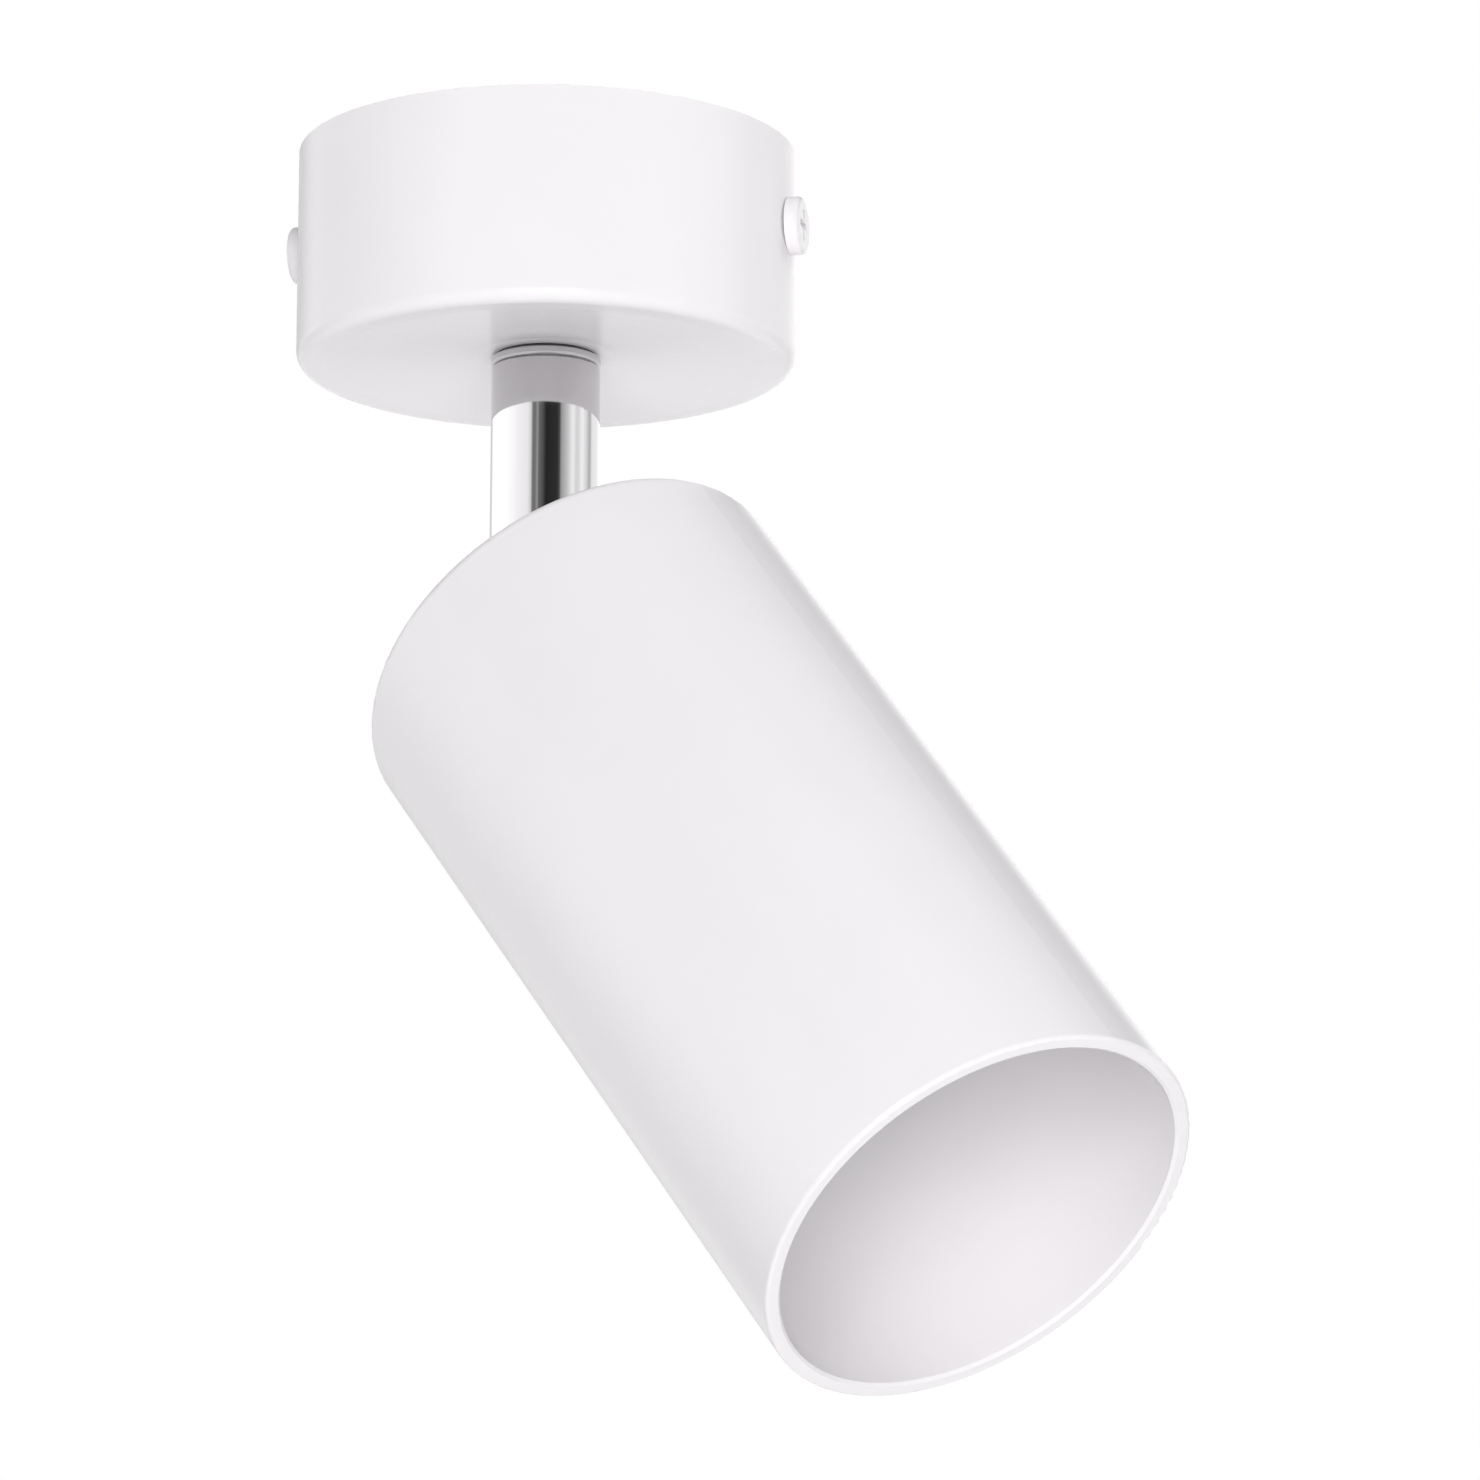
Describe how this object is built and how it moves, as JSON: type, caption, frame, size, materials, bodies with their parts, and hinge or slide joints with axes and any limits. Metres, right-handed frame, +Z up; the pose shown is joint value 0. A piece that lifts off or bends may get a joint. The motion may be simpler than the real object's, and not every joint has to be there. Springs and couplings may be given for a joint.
{
  "type": "surface mounted ceiling spotlight",
  "caption": "White ceiling spotlight: round canopy cup, short chromed stem, and a deep cylinder head that swivels and tilts.",
  "frame": {"origin": "centre of the ceiling plane, midway between the two ceiling screw slots", "axes": "+Z up into the ceiling, +X through the two side screws of the canopy and along the slots"},
  "size_m": [0.1268, 0.1023, 0.1725],
  "materials": {
    "canopy_paint": "satin",
    "head_paint": "satin",
    "screw_paint": "satin",
    "chrome": "polished",
    "zinc_steel": "satin",
    "brass": "satin",
    "block_plastic": "satin",
    "black_nylon": "satin",
    "ceramic": "satin",
    "lamp_shell": "satin",
    "lamp_glass": "gloss",
    "live_insulation": "satin",
    "neutral_insulation": "satin",
    "earth_insulation": "satin",
    "sleeve_fabric": "matte"
  },
  "bodies": {
    "canopy": {"canopy_cup": "canopy_paint", "ceiling_bracket": "zinc_steel", "canopy_screws": "screw_paint", "terminal_body": "block_plastic", "terminal_clamps": "brass", "terminal_screws": "zinc_steel", "terminal_fixing_screw": "zinc_steel", "earth_stud": "zinc_steel", "earth_tag": "brass", "earth_washer": "zinc_steel", "earth_nut": "zinc_steel", "stop_stud": "zinc_steel", "canopy_lead_live": "live_insulation", "canopy_lead_neutral": "neutral_insulation", "canopy_lead_earth": "earth_insulation", "canopy_lead_bond": "earth_insulation"},
    "stem": {"threaded_nipple": "zinc_steel", "lock_nut": "zinc_steel", "stop_washer": "zinc_steel", "spring_washer": "zinc_steel", "upper_slip_washer": "black_nylon", "lower_slip_washer": "black_nylon", "swivel_collar": "chrome", "stem_tube": "chrome", "fork_end": "chrome", "stem_sleeve": "sleeve_fabric"},
    "head": {"tilt_lug": "chrome", "hinge_screws": "zinc_steel", "friction_washers": "black_nylon", "head_shell": "head_paint", "holder_carrier": "zinc_steel", "cap_washer": "zinc_steel", "head_earth_tag": "brass", "cap_nut": "zinc_steel", "lampholder": "ceramic", "holder_screws": "zinc_steel", "lamp_body": "lamp_shell", "lamp_lens": "lamp_glass", "lamp_pins": "zinc_steel", "hinge_sleeve": "sleeve_fabric", "head_sleeve": "sleeve_fabric", "head_lead_live": "live_insulation", "head_lead_neutral": "neutral_insulation", "head_lead_earth": "earth_insulation"}
  },
  "joints": [
    {"name": "swivel", "type": "hinge", "parent": "canopy", "child": "stem", "pos_m": [0, 0, -0.0291], "axis": [0, 0, 1], "range_deg": [-136.5, 199.5]},
    {"name": "tilt", "type": "hinge", "parent": "stem", "child": "head", "pos_m": [0, 0, -0.0627], "axis": [-0.5225, -0.8526, 0], "range_deg": [-131, 49], "deforming": ["hinge_sleeve"]}
  ]
}
